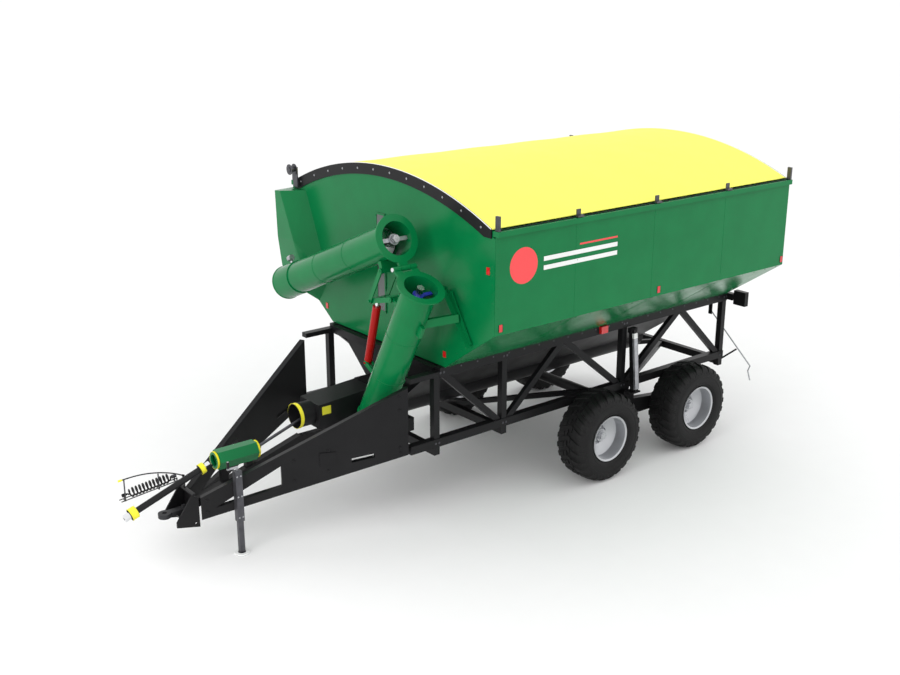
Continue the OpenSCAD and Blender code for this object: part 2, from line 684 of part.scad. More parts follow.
// Half section of the tyre: radius against distance from the wheel plane.
module tyre_section() difference() {
    h = tyre_w / 2;
    polygon([[rim_r + 1, -187], [rim_r + 14, -187], [rim_r + 40, -h + 12], [rim_r + 130, -h], [tyre_r - 70, -h + 12],
        [tyre_r - 24, -h + 36], [tyre_r - 4, -h + 80], [tyre_r, 0], [tyre_r - 4, h - 80], [tyre_r - 24, h - 36],
        [tyre_r - 70, h - 12], [rim_r + 130, h], [rim_r + 40, h - 12], [rim_r + 14, 187],
        [rim_r + 1, 187]]);
    polygon([[rim_r - 10, -h + 70], [rim_r + 50, -h + 40], [rim_r + 130, -h + 28], [tyre_r - 80, -h + 50],
        [tyre_r - 40, -h + 110], [tyre_r - 40, h - 110], [tyre_r - 80, h - 50], [rim_r + 130, h - 28],
        [rim_r + 50, h - 40], [rim_r - 10, h - 70]]);
}

// Wheel number k: 0 front left, 1 rear left, 2 front right, 3 rear right.
module at_wheel(k) mirror([0, k > 1 ? 1 : 0, 0])
    translate([wheel_x[k % 2], track / 2, axle_z]) rotate([-90, 0, 0]) children();

module tyre(k) color("#17181a") place() at_wheel(k) rotate_extrude($fn = 96) tyre_section();

module tyre_front_left() tyre(0);
module tyre_rear_left() tyre(1);
module tyre_front_right() tyre(2);
module tyre_rear_right() tyre(3);

module rim(k) color("#c9ccd0") place() at_wheel(k) {
    difference() {
        union() {
            rotate_extrude($fn = 96)
                polygon([[rim_r - 14, -198], [rim_r + 10, -206], [rim_r + 12, -198], [rim_r, -190], [rim_r, 190],
                    [rim_r + 12, 198], [rim_r + 10, 206], [rim_r - 14, 198], [rim_r - 14, 40],
                    [rim_r - 60, 20], [140, -20], [80, -20], [80, -34], [150, -34], [rim_r - 40, 2],
                    [rim_r - 14, 10]]);
            translate([0, 0, -150]) cylinder(r = 80, h = 190, $fn = 64);
        }
        translate([0, 0, -160]) cylinder(r = spindle_r + run_gap, h = 230, $fn = 64);
        for (a = [0:36:324]) rotate(a) translate([110, 0, -60]) cylinder(r = 11, h = 60, $fn = 24);
    }
    translate([0, 0, 62]) cylinder(r = 50, h = 26, $fn = 64);
    translate([0, 0, 41]) ring(spindle_r + 8, 62, 0, 21);
}

module rim_front_left() rim(0);
module rim_rear_left() rim(1);
module rim_front_right() rim(2);
module rim_rear_right() rim(3);

module jack_body() color("#55585b") place() {
    difference() {
        block([jack_x - 40, jack_y - 36, 400], [jack_x + 40, jack_y + 36, 1000]);
        block([jack_x - 33, jack_y - 29, 390], [jack_x + 33, jack_y + 29, 990]);
        bar([jack_x, jack_y, 980], [jack_x, jack_y, 1010], 12.05);
    }
}

module jack_leg() color("#4a4d50") place() {
    block([jack_x - 30, jack_y - 26, 16], [jack_x + 30, jack_y + 26, 620]);
    translate([jack_x, jack_y, 0]) cylinder(r = 82, h = 15.9, $fn = 64);
}

module jack_crank() color("#8b8f93") place() {
    bar([jack_x, jack_y, 976], [jack_x, jack_y, 1036], 12);
    block([jack_x - 14, jack_y - 13, 1034], [jack_x + 120, jack_y + 13, 1047]);
    bar([jack_x + 105, jack_y, 1045], [jack_x + 105, jack_y, 1130], 11);
}

// Rod that winds the clean-out gate, with a cranked handle outside the chassis.
gate_rod = [[-5150, 830, 1526], [-5150, 1560, 890], [-5150, 1530, 810], [-5150, 1576, 680]];
module gate_crank() color("#6d7175") place() translate([-20, 0, 0]) {
    for (i = [0:2]) bar(gate_rod[i], gate_rod[i + 1], 9, 32);
    for (i = [1:2]) translate(gate_rod[i]) sphere(r = 9.6, $fn = 32);
}

// ---------------------------------------------------------------- lights

// Coupler on the brake hose and plug on the coiled lead.
hose_u = (hose_points[9] - hose_points[8]) / norm(hose_points[9] - hose_points[8]);
coil_u = (coil_b - coil_a) / norm(coil_b - coil_a);
module cord_ends() color("#e8c820") place() {
    bar(hose_points[9], hose_points[9] + 46 * hose_u, 13);
    bar(coil_b, coil_b + 58 * coil_u, 20);
}

module lights() color("#d01818") place() {
    for (s = [0, 1]) mirror([0, s, 0]) {
        for (x = [-60, -2579, -5010]) block([x - 45, half_w + 0.5, 2500], [x + 5, half_w + 5.5, 2580]);
        block([-2640, 1138.5, 1790], [-2520, 1180, 1882]);
        block([-5216, 1270, 1760], [-5196, 1400, 1900]);
    }
    block([0.5, 1860, 3120], [6, 1910, 3200]);
    block([0.5, 1120, 2010], [6, 1170, 2080]);
    block([0.5, -1300, 2040], [6, -1250, 2110]);
}

// ---------------------------------------------------------------- hoses

// Two rods that carry the coil, a socket at its start, and rests for its plug and the hose.
module hose_carrier() color("#26282a") place() {
    for (y = [-190, -130]) {
        beam([2731, y, 825], [3400, y, 760.6], 10, 8);
        block([2722, y - 7, 765.5], [2733, y + 7, 831]);
    }
    block([2762, -194, 815], [2774, -126, 822]);
    block([2762, -166, 821], [2774, -154, 865]);
    bar([2750, -160, 876.8], coil_a - [0.5, 0, 0], 20);
    block([2974, -135, 797], [2986, -93, 803]);
    block([2974, -103, 801], [2986, -93, 983]);
    block([3346, -194, 757], [3358, -126, 768]);
    block([3346, -166, 766], [3358, -154, 796]);
    block([3346, -140, 766], [3358, -128, 1001]);
}

module brake_hose() color("#2d2f31") place() sweep_tube(hose_points, hose_d);

module lead_coil() color("#151515") place() bar(coil_a, coil_b, coil_r, 48);

truss_left();
truss_right();
cross_members();
drawbar_left();
drawbar_right();
drawbar_spine();
hitch_head();
tow_eye();
hopper_left_side();
hopper_right_side();
hopper_front_wall();
hopper_rear_wall();
hopper_nose();
hopper_floor();
top_rails();
end_arches();
tarp();
tarp_fittings();
front_sump();
gearbox();
driveline_guard();
lower_tube();
lower_bearing();
hinge_pin();
auger_brace();
sight_window();
lights();
axle_hangers();
bogie_left();
bogie_right();
tyre_front_left();
tyre_rear_left();
tyre_front_right();
tyre_rear_right();
rim_front_left();
rim_rear_left();
rim_front_right();
rim_rear_right();
floor_auger();
lower_screw();
upper_tube();
upper_screw();
upper_bearing();
work_light();
fold_links();
rocker_links();
cylinder_barrel();
cylinder_rod();
jack_body();
jack_leg();
jack_crank();
gate_crank();
pto_housing();
pto_guard();
pto_front_shaft();
pto_rear_shaft();
hose_carrier();
brake_hose();
lead_coil();
cord_ends();
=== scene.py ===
"""Looks of the grain cart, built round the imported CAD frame.

Everything is in metres: +X forward to the tractor, +Y to the machine's left, +Z up.
Stations along the machine are measured from the hopper's front wall, as in the CAD source.
"""

import json
import math

import bmesh
import bpy
from mathutils import Matrix, Vector


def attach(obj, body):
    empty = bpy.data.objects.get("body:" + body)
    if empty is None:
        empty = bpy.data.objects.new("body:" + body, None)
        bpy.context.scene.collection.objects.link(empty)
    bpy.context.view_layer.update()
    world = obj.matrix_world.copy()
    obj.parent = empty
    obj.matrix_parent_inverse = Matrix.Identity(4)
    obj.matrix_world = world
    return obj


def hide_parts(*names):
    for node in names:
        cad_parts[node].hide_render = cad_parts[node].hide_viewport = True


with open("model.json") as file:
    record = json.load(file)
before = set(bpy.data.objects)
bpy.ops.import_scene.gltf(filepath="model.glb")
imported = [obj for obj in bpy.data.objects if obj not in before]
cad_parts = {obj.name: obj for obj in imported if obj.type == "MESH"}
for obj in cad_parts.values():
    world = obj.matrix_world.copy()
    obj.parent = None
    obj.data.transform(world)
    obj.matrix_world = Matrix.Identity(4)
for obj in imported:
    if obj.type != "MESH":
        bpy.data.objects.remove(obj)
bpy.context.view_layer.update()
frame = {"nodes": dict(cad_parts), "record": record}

ORIGIN_X = 0.88113


def at(x, y, z):
    """A point given by its station behind or before the front wall."""
    return Vector((x + ORIGIN_X, y, z))


# ------------------------------------------------------------------ camera, light, floor

CAMERA_AZIMUTH = 51.131
CAMERA_ELEVATION = 17.718


def make_camera():
    data = bpy.data.cameras.new("camera")
    data.lens = 45.1
    data.sensor_width = 36.0
    data.clip_end = 1500.0
    cam = bpy.data.objects.new("camera", data)
    bpy.context.scene.collection.objects.link(cam)
    cam.location = at(7.533, 10.589, 6.103)
    cam.rotation_euler = (math.radians(90 - CAMERA_ELEVATION), 0, math.radians(90 + CAMERA_AZIMUTH))
    bpy.context.scene.camera = cam


def make_area_light(name, place, target, size, power):
    data = bpy.data.lights.new(name, "AREA")
    data.shape = "SQUARE"
    data.size = size
    data.energy = power
    lamp = bpy.data.objects.new(name, data)
    bpy.context.scene.collection.objects.link(lamp)
    lamp.location = place
    aim = Vector(target) - Vector(place)
    lamp.rotation_euler = aim.to_track_quat("-Z", "Y").to_euler()


def make_world(strength):
    world = bpy.data.worlds.new("studio")
    bpy.context.scene.world = world
    world.use_nodes = True
    background = world.node_tree.nodes["Background"]
    background.inputs["Color"].default_value = (1.0, 1.0, 1.0, 1.0)
    background.inputs["Strength"].default_value = strength


make_camera()
make_world(1.14)
make_area_light("key", (13.0, 4.0, 7.0), (0.5, 0.0, 2.2), 6.0, 420)
make_area_light("rim", (-9.0, 7.0, 6.0), (-2.0, 0.0, 1.5), 5.0, 90)
bpy.context.scene.view_settings.view_transform = "Standard"


# ------------------------------------------------------------------ materials


def surface(name, color, roughness, metallic=0.0, coat=0.0, grain=0.12, grain_scale=3.0,
            bump=0.15, bump_scale=220.0, bump_depth=0.0006, dust=0.0, weave=0.0, gloss=0.5):
    """Colour that drifts a little, roughness that varies, fine relief, and dust low down."""
    mat = bpy.data.materials.new(name)
    mat.use_nodes = True
    nodes = mat.node_tree.nodes
    link = mat.node_tree.links.new
    shader = nodes["Principled BSDF"]
    shader.inputs["Metallic"].default_value = metallic
    shader.inputs["Coat Weight"].default_value = coat
    shader.inputs["Coat Roughness"].default_value = 0.08
    shader.inputs["Specular IOR Level"].default_value = gloss
    coords = nodes.new("ShaderNodeTexCoord")

    broad = nodes.new("ShaderNodeTexNoise")
    broad.inputs["Scale"].default_value = grain_scale
    broad.inputs["Detail"].default_value = 6.0
    link(coords.outputs["Object"], broad.inputs["Vector"])

    ramp = nodes.new("ShaderNodeValToRGB")
    dark = [c * (1 - grain) for c in color]
    light = [min(1.0, c * (1 + grain)) for c in color]
    ramp.color_ramp.elements[0].position = 0.3
    ramp.color_ramp.elements[0].color = (*dark, 1)
    ramp.color_ramp.elements[1].position = 0.7
    ramp.color_ramp.elements[1].color = (*light, 1)
    link(broad.outputs["Fac"], ramp.inputs["Fac"])
    paint = ramp.outputs["Color"]

    if dust > 0:
        place = nodes.new("ShaderNodeSeparateXYZ")
        link(coords.outputs["Object"], place.inputs["Vector"])
        height = nodes.new("ShaderNodeMapRange")
        height.inputs["From Min"].default_value = 0.0
        height.inputs["From Max"].default_value = 1.6
        height.inputs["To Min"].default_value = dust
        height.inputs["To Max"].default_value = 0.0
        link(place.outputs["Z"], height.inputs["Value"])
        patches = nodes.new("ShaderNodeMath")
        patches.operation = "MULTIPLY"
        link(height.outputs["Result"], patches.inputs[0])
        link(broad.outputs["Fac"], patches.inputs[1])
        mix = nodes.new("ShaderNodeMix")
        mix.data_type = "RGBA"
        mix.inputs[7].default_value = (0.2, 0.18, 0.15, 1)
        link(patches.outputs["Value"], mix.inputs["Factor"])
        link(paint, mix.inputs[6])
        paint = mix.outputs[2]
    link(paint, shader.inputs["Base Color"])

    sheen = nodes.new("ShaderNodeMapRange")
    sheen.inputs["To Min"].default_value = max(0.03, roughness - 0.08)
    sheen.inputs["To Max"].default_value = min(1.0, roughness + 0.1)
    link(broad.outputs["Fac"], sheen.inputs["Value"])
    link(sheen.outputs["Result"], shader.inputs["Roughness"])

    if weave > 0:
        fine = nodes.new("ShaderNodeTexWave")
        fine.inputs["Scale"].default_value = weave
        fine.inputs["Distortion"].default_value = 0.4
    else:
        fine = nodes.new("ShaderNodeTexNoise")
        fine.inputs["Scale"].default_value = bump_scale
        fine.inputs["Detail"].default_value = 3.0
    link(coords.outputs["Object"], fine.inputs["Vector"])
    relief = nodes.new("ShaderNodeBump")
    relief.inputs["Strength"].default_value = bump
    relief.inputs["Distance"].default_value = bump_depth
    link(fine.outputs["Fac"], relief.inputs["Height"])
    link(relief.outputs["Normal"], shader.inputs["Normal"])
    return mat


MATERIALS = {
    "chassis_paint": surface("chassis_paint", (0.009, 0.009, 0.010), 0.34, bump=0.2, dust=0.03, gloss=0.16),
    "forged_steel": surface("forged_steel", (0.035, 0.035, 0.038), 0.5, metallic=0.6, bump=0.6,
                            bump_scale=60),
    "green_paint": surface("green_paint", (0.001, 0.165, 0.047), 0.22, grain=0.06, bump=0.12, gloss=0.2),
    "black_paint": surface("black_paint", (0.008, 0.008, 0.009), 0.36, dust=0.03, gloss=0.18),
    "zinc_steel": surface("zinc_steel", (0.42, 0.43, 0.45), 0.38, metallic=0.9, grain=0.2, grain_scale=14),
    "tarp_fabric": surface("tarp_fabric", (0.94, 0.92, 0.15), 0.6, gloss=0.2, grain=0.03, bump=0.3, weave=160,
                           bump_depth=0.0005),
    "black_plastic": surface("black_plastic", (0.012, 0.012, 0.013), 0.42, bump=0.4, bump_scale=400,
                             gloss=0.2),
    "bearing_blue": surface("bearing_blue", (0.02, 0.03, 0.4), 0.3, coat=0.3, bump=0.4, bump_scale=90),
    "bright_steel": surface("bright_steel", (0.75, 0.76, 0.78), 0.16, metallic=1.0, grain=0.05,
                            grain_scale=20),
    "window_grey": surface("window_grey", (0.05, 0.065, 0.06), 0.22, coat=0.5, grain=0.2),
    "red_lens": surface("red_lens", (0.62, 0.008, 0.01), 0.18, coat=0.6, grain=0.1, weave=70,
                        bump_depth=0.001),
    "tyre_rubber": surface("tyre_rubber", (0.007, 0.007, 0.0075), 0.6, grain=0.25, grain_scale=9, bump=0.5,
                           bump_scale=140, bump_depth=0.0012, dust=0.02, gloss=0.22),
    "silver_paint": surface("silver_paint", (0.5, 0.51, 0.53), 0.3, metallic=0.75, grain=0.06, coat=0.3),
    "auger_steel": surface("auger_steel", (0.66, 0.66, 0.68), 0.27, metallic=1.0, grain=0.15, grain_scale=18),
    "red_paint": surface("red_paint", (0.36, 0.005, 0.004), 0.28, grain=0.08, gloss=0.2),
    "dark_steel": surface("dark_steel", (0.09, 0.09, 0.1), 0.42, metallic=0.8, grain=0.2, grain_scale=12),
    "black_rubber": surface("black_rubber", (0.008, 0.008, 0.009), 0.5, grain=0.2, bump=0.4,
                            bump_scale=180, gloss=0.25),
    "yellow_plastic": surface("yellow_plastic", (0.86, 0.80, 0.035), 0.34, grain=0.05, bump=0.3),
    "graphic_red": surface("graphic_red", (0.86, 0.06, 0.065), 0.4, grain=0.03),
    "white_paint": surface("white_paint", (0.82, 0.83, 0.82), 0.3, coat=0.2, grain=0.03),
    "floor": surface("floor", (0.9, 0.9, 0.9), 0.8, grain=0.005, bump=0.0, gloss=0.1),
}

# Nodes whose surface differs from the rest of their slot.
NODE_FINISH = {"tarp_fittings": "dark_steel", "jack_leg": "dark_steel", "jack_body": "dark_steel",
               "upper_bearing": "zinc_steel"}

for part in frame["record"]["subparts"]:
    mesh = frame["nodes"][part["node"]].data
    mesh.materials.clear()
    mesh.materials.append(MATERIALS[NODE_FINISH.get(part["node"], part["material_slot"])])


# ------------------------------------------------------------------ mesh helpers


def finish_piece(name, bm, slot, body, smooth_angle=40.0, material=None):
    """Turns a bmesh into a piece that rides on a body and takes its finish from a slot."""
    bmesh.ops.recalc_face_normals(bm, faces=bm.faces)
    mesh = bpy.data.meshes.new(name)
    bm.to_mesh(mesh)
    bm.free()
    obj = bpy.data.objects.new(name, mesh)
    bpy.context.scene.collection.objects.link(obj)
    mesh.materials.append(MATERIALS[material or slot])
    mesh.shade_smooth()
    mesh.set_sharp_from_angle(angle=math.radians(smooth_angle))
    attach(obj, body)
    return obj


def turned_to(place, direction):
    """A matrix that carries +Z to a direction, at a place."""
    turn = Vector(direction).to_track_quat("Z", "Y").to_matrix().to_4x4()
    return Matrix.Translation(place) @ turn


def lathe(bm, profile, matrix, steps=24, closed=False):
    """Turns (radius, height) points round the matrix's Z; a radius of 0 makes a tip."""
    rings = []
    for radius, height in profile:
        if radius < 1e-6:
            rings.append([bm.verts.new(matrix @ Vector((0, 0, height)))])
            continue
        turn = 2 * math.pi / steps
        ring = []
        for k in range(steps):
            point = Vector((radius * math.cos(turn * k), radius * math.sin(turn * k), height))
            ring.append(bm.verts.new(matrix @ point))
        rings.append(ring)
    pairs = list(zip(rings, rings[1:]))
    if closed:
        pairs.append((rings[-1], rings[0]))
    for low, high in pairs:
        for k in range(steps):
            q = (k + 1) % steps
            corners = [low[k % len(low)], low[q % len(low)], high[q % len(high)], high[k % len(high)]]
            unique = list(dict.fromkeys(corners))
            if len(unique) > 2:
                bm.faces.new(unique)


def rivet(bm, place, direction, radius=0.009, height=0.004):
    lathe(bm, [(radius, 0), (radius * 0.8, height * 0.65), (radius * 0.4, height * 0.95), (0, height)],
          turned_to(place, direction), steps=10)


def hex_bolt(bm, place, direction, radius=0.014, height=0.011):
    """A washer with a chamfered hexagon head on it."""
    seat = turned_to(place, direction)
    lathe(bm, [(radius * 1.45, 0), (radius * 1.45, 0.002), (radius * 0.9, 0.0025)], seat, steps=16)
    lathe(bm, [(radius, 0.002), (radius, height * 0.85), (radius * 0.82, height), (0, height)], seat, steps=6)


def slab(bm, low, high, matrix=None, edge=0.0015):
    """A box with broken edges, from its lowest to its highest corner."""
    made = bmesh.ops.create_cube(bm, size=1.0)
    low, high = Vector(low), Vector(high)
    size, middle = high - low, (low + high) / 2
    for vert in made["verts"]:
        vert.co = Vector(vert.co[i] * size[i] + middle[i] for i in range(3))
        if matrix is not None:
            vert.co = matrix @ vert.co
    edges = list({e for v in made["verts"] for e in v.link_edges})
    bmesh.ops.bevel(bm, geom=edges, offset=min(edge, min(size) * 0.3), segments=2, affect="EDGES")


def rod(bm, start, end, radius, steps=16):
    """A round rod with rounded ends."""
    start, end = Vector(start), Vector(end)
    length = (end - start).length
    lip = radius * 0.25
    profile = [(0, 0), (radius - lip, 0), (radius, lip), (radius, length - lip), (radius - lip, length),
               (0, length)]
    lathe(bm, profile, turned_to(start, end - start), steps=steps)


def curve_piece(name, points, diameter, slot, body):
    """A round curve along points, for a cord or a bead.

    The size is in each point's radius, because a curve's bounds take in that radius.
    """
    data = bpy.data.curves.new(name, "CURVE")
    data.dimensions = "3D"
    data.bevel_depth = 1.0
    data.bevel_resolution = 4
    data.use_fill_caps = True
    spline = data.splines.new("POLY")
    spline.points.add(len(points) - 1)
    for target, point in zip(spline.points, points):
        target.co = (*point, 1)
        target.radius = diameter / 2
    obj = bpy.data.objects.new(name, data)
    bpy.context.scene.collection.objects.link(obj)
    data.materials.append(MATERIALS[slot])
    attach(obj, body)
    return obj


def smooth_route(points, per_span=4):
    """A Catmull-Rom curve through the route's points."""
    route = []
    ends = [points[0] * 2 - points[1], *points, points[-1] * 2 - points[-2]]
    for p0, p1, p2, p3 in zip(ends, ends[1:], ends[2:], ends[3:]):
        for k in range(per_span):
            t = k / per_span
            route.append(0.5 * (2 * p1 + (p2 - p0) * t + (2 * p0 - 5 * p1 + 4 * p2 - p3) * t * t
                                + (3 * p1 - p0 - 3 * p2 + p3) * t ** 3))
    return [*route, points[-1].copy()]


# ------------------------------------------------------------------ cords

HOSE_DIAMETER = 0.014
HOSE_POINTS = [at(2.720, -0.060, 0.905), at(2.760, -0.066, 0.925), at(2.820, -0.076, 0.950),
               at(2.900, -0.090, 0.975), at(2.980, -0.103, 0.993), at(3.060, -0.115, 1.005),
               at(3.140, -0.124, 1.012), at(3.220, -0.130, 1.014), at(3.300, -0.133, 1.012),
               at(3.370, -0.134, 1.008)]
LEAD_DIAMETER = 0.017
COIL_START = at(2.800, -0.160, 0.872)
COIL_END = at(3.320, -0.160, 0.822)
COIL_RADIUS = 0.046
COIL_TURNS = 13
POINTS_PER_TURN = 20


def make_hose():
    route = smooth_route(HOSE_POINTS)
    hose = curve_piece("brake_hose_line", route, HOSE_DIAMETER, "black_rubber", "frame")
    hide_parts("brake_hose")
    return hose, route


def make_lead():
    """The lead winds out from the socket on its axis, round its turns, and back in to its plug."""
    axis = (COIL_END - COIL_START).normalized()
    span = (COIL_END - COIL_START).length
    side = axis.cross(Vector((0, 0, 1))).normalized()
    up = side.cross(axis)
    count = COIL_TURNS * POINTS_PER_TURN
    route = []
    for k in range(count + 1):
        t = k / count
        angle = 2 * math.pi * COIL_TURNS * t
        swell = min(1.0, t * COIL_TURNS / 1.2, (1 - t) * COIL_TURNS / 1.2)
        radius = COIL_RADIUS * (3 * swell ** 2 - 2 * swell ** 3)
        route.append(COIL_START + axis * span * t + (side * math.cos(angle) + up * math.sin(angle)) * radius)
    lead = curve_piece("coiled_lead_line", route, LEAD_DIAMETER, "black_rubber", "frame")
    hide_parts("lead_coil")
    return lead, route


def make_cord_end(name, place, axis, profile, slot):
    """A turned fitting at the end of a cord."""
    bm = bmesh.new()
    lathe(bm, profile, turned_to(place, axis), steps=28)
    piece = finish_piece(name, bm, slot, "frame")
    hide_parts("cord_ends")
    return piece


COUPLER_PROFILE = [(0, 0), (0.0085, 0), (0.0095, 0.003), (0.0095, 0.012), (0.0128, 0.014), (0.0128, 0.026),
                   (0.0105, 0.028), (0.0105, 0.034), (0.0125, 0.036), (0.0125, 0.044), (0.010, 0.0455),
                   (0, 0.0455)]
PLUG_PROFILE = [(0, 0), (0.009, 0), (0.012, 0.008), (0.014, 0.016), (0.0195, 0.018), (0.0195, 0.030),
                (0.0175, 0.032), (0.0175, 0.040), (0.0195, 0.042), (0.0195, 0.055), (0.017, 0.0575),
                (0.014, 0.0575), (0.014, 0.046), (0, 0.046)]

hose, hose_route = make_hose()
lead, lead_route = make_lead()
coupler = make_cord_end("hose_coupler", HOSE_POINTS[-1], HOSE_POINTS[-1] - HOSE_POINTS[-2], COUPLER_PROFILE,
                        "yellow_plastic")
plug = make_cord_end("lead_plug", COIL_END, COIL_END - COIL_START, PLUG_PROFILE, "black_plastic")


# ------------------------------------------------------------------ roof

ARCH_HALF = 1.960
CROWN_Z = 4.040
ARCH_RISE = CROWN_Z - 3.600
ARCH_R = (ARCH_HALF ** 2 + ARCH_RISE ** 2) / (2 * ARCH_RISE)
ARCH_CZ = CROWN_Z - ARCH_R
HOPPER_L = 5.070
TARP_HALF = 1.938
BOW_GAP = HOPPER_L / 5


def on_arch(x, y, lift=0.0):
    """A point over the arch at station x, lifted off its curve."""
    radius = ARCH_R + lift
    angle = math.asin(y / ARCH_R)
    return at(x, radius * math.sin(angle), ARCH_CZ + radius * math.cos(angle))


def make_tarp():
    """Cloth stretched over the bows, a little slack between them, hemmed along both sides."""
    bm = bmesh.new()
    columns, rows = 140, 90
    grid = []
    for i in range(columns + 1):
        x = -0.006 - (HOPPER_L - 0.012) * i / columns
        slack = math.sin(math.pi * ((-x) % BOW_GAP) / BOW_GAP) ** 2
        line = []
        for j in range(rows + 1):
            y = -TARP_HALF + 2 * TARP_HALF * j / rows
            edge = abs(y) / TARP_HALF
            ripple = 0.0012 * math.sin(x * 9.0 + y * 2.0) * math.sin(y * 5.0 + 1.0)
            pull = 0.0022 * max(0.0, edge - 0.8) * 5 * math.sin(x * 15.0)
            line.append(bm.verts.new(on_arch(x, y, 0.002 - 0.006 * slack * (1 - edge ** 4) + ripple + pull)))
        grid.append(line)
    for a, b in zip(grid, grid[1:]):
        for j in range(rows):
            bm.faces.new((a[j], a[j + 1], b[j + 1], b[j]))
    tarp = finish_piece("tarp_cloth", bm, "tarp_fabric", "frame", smooth_angle=180)
    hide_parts("tarp")
    return tarp


def make_hems():
    hems = []
    for side, label in ((1, "left"), (-1, "right")):
        stations = [-0.01 - (HOPPER_L - 0.02) * k / 60 for k in range(61)]
        points = [on_arch(x, side * (TARP_HALF - 0.004), 0.004) for x in stations]
        hems.append(curve_piece("tarp_hem_" + label, points, 0.012, "tarp_fabric", "frame"))
    for x, label in ((0.007, "front"), (-HOPPER_L + 0.007, "rear")):
        points = [on_arch(x, -1.93 + 3.86 * k / 80, 0.001) for k in range(81)]
        bead = curve_piece("tarp_bead_" + label, points, 0.011, "tarp_fabric", "frame")
        bead.data.materials[0] = MATERIALS["white_paint"]
        hems.append(bead)
    return hems


tarp = make_tarp()
hems = make_hems()


def make_arch_bolts():
    bm = bmesh.new()
    for k in range(12):
        y = -1.8 + 3.6 * k / 11
        hex_bolt(bm, on_arch(0.015, y, -0.062), (1, 0, 0), 0.009, 0.007)
        hex_bolt(bm, on_arch(-HOPPER_L, y, -0.062), (-1, 0, 0), 0.009, 0.007)
    finish_piece("arch_bolts", bm, "zinc_steel", "frame")


make_arch_bolts()


# ------------------------------------------------------------------ hopper sheet work

WALL_Y = 2.000
WALL_TOP = 3.540
KNUCKLE_Z = 2.463
FLOOR_EDGE_Y = 1.149
FLOOR_EDGE_Z = 1.886
SEAMS = (-1.205, -2.490, -3.790)
SLOPE_DOWN = Vector((0, WALL_Y - FLOOR_EDGE_Y, KNUCKLE_Z - FLOOR_EDGE_Z)).normalized()
SLOPE_OUT = Vector((0, SLOPE_DOWN.z, -SLOPE_DOWN.y))


def mirrored(vector, side):
    return Vector((vector.x, vector.y * side, vector.z))


def make_side_rivets(side, label):
    bm = bmesh.new()
    out = Vector((0, side, 0))
    for x in (-0.035, *SEAMS, -HOPPER_L + 0.035):
        for k in range(9):
            rivet(bm, at(x, side * WALL_Y, 2.53 + 0.118 * k), out, 0.008, 0.0035)
    for k in range(34):
        x = -0.06 - (HOPPER_L - 0.12) * k / 33
        rivet(bm, at(x, side * WALL_Y, 2.497), out, 0.008, 0.0035)
    lean_out = mirrored(SLOPE_OUT, side)
    for k in range(22):
        x = -0.08 - (HOPPER_L - 0.16) * k / 21
        for reach in (0.06, 0.95):
            y = FLOOR_EDGE_Y + (WALL_Y - FLOOR_EDGE_Y) * reach
            z = FLOOR_EDGE_Z + (KNUCKLE_Z - FLOOR_EDGE_Z) * reach
            rivet(bm, at(x, side * y, z), lean_out, 0.009, 0.004)
    for x in SEAMS:
        for k in range(1, 8):
            y = FLOOR_EDGE_Y + (WALL_Y - FLOOR_EDGE_Y) * k / 8
            z = FLOOR_EDGE_Z + (KNUCKLE_Z - FLOOR_EDGE_Z) * k / 8
            rivet(bm, at(x, side * y, z), lean_out, 0.009, 0.004)
    finish_piece("side_rivets_" + label, bm, "green_paint", "frame")


LAP_THICKNESS = 0.0016


def make_side_laps(side, label):
    """Narrow lap plates where two sheets meet, on the wall and on the slope below it."""
    bm = bmesh.new()
    for x in SEAMS:
        low, high = sorted((side * WALL_Y, side * (WALL_Y + LAP_THICKNESS)))
        slab(bm, at(x - 0.03, low, KNUCKLE_Z + 0.012), at(x + 0.03, high, WALL_TOP - 0.004), edge=0.0005)
        start = mirrored(at(x, FLOOR_EDGE_Y, FLOOR_EDGE_Z), side)
        end = mirrored(at(x, WALL_Y, KNUCKLE_Z), side)
        along = (end - start).normalized()
        out = mirrored(SLOPE_OUT, side)
        turn = Matrix((Vector((1, 0, 0)), along, out)).transposed().to_4x4()
        place = Matrix.Translation(start) @ turn
        slab(bm, (-0.03, 0.01, 0.0), (0.03, (end - start).length - 0.012, LAP_THICKNESS), place, edge=0.0005)
    finish_piece("side_laps_" + label, bm, "green_paint", "frame")


for hopper_side, side_label in ((1, "left"), (-1, "right")):
    make_side_rivets(hopper_side, side_label)
    make_side_laps(hopper_side, side_label)


def make_rail_trim(side, label):
    """Rubber strip along the outside of the top rail, under the edge of the cloth."""
    bm = bmesh.new()
    low, high = sorted((side * 1.990, side * 1.998))
    slab(bm, at(-HOPPER_L + 0.05, low, 3.6005), at(-0.05, high, 3.612), edge=0.002)
    finish_piece("rail_trim_" + label, bm, "black_rubber", "frame")


make_rail_trim(1, "left")
make_rail_trim(-1, "right")


def make_front_rivets():
    bm = bmesh.new()
    for side in (1, -1):
        for k in range(10):
            rivet(bm, at(0, side * 1.955, 2.52 + 0.1 * k), (1, 0, 0), 0.008, 0.0035)
            t = k / 10
            rivet(bm, at(0, side * (1.13 + 0.78 * t), 1.95 + 0.53 * t), (1, 0, 0), 0.008, 0.0035)
            rivet(bm, at(-HOPPER_L, side * 1.955, 2.52 + 0.1 * k), (-1, 0, 0), 0.008, 0.0035)
            rivet(bm, at(-HOPPER_L, side * (1.13 + 0.78 * t), 1.95 + 0.53 * t), (-1, 0, 0), 0.008, 0.0035)
    for k in range(17):
        rivet(bm, at(-HOPPER_L, -1.6 + 0.2 * k, 3.44), (-1, 0, 0), 0.008, 0.0035)
    finish_piece("end_rivets", bm, "green_paint", "frame")


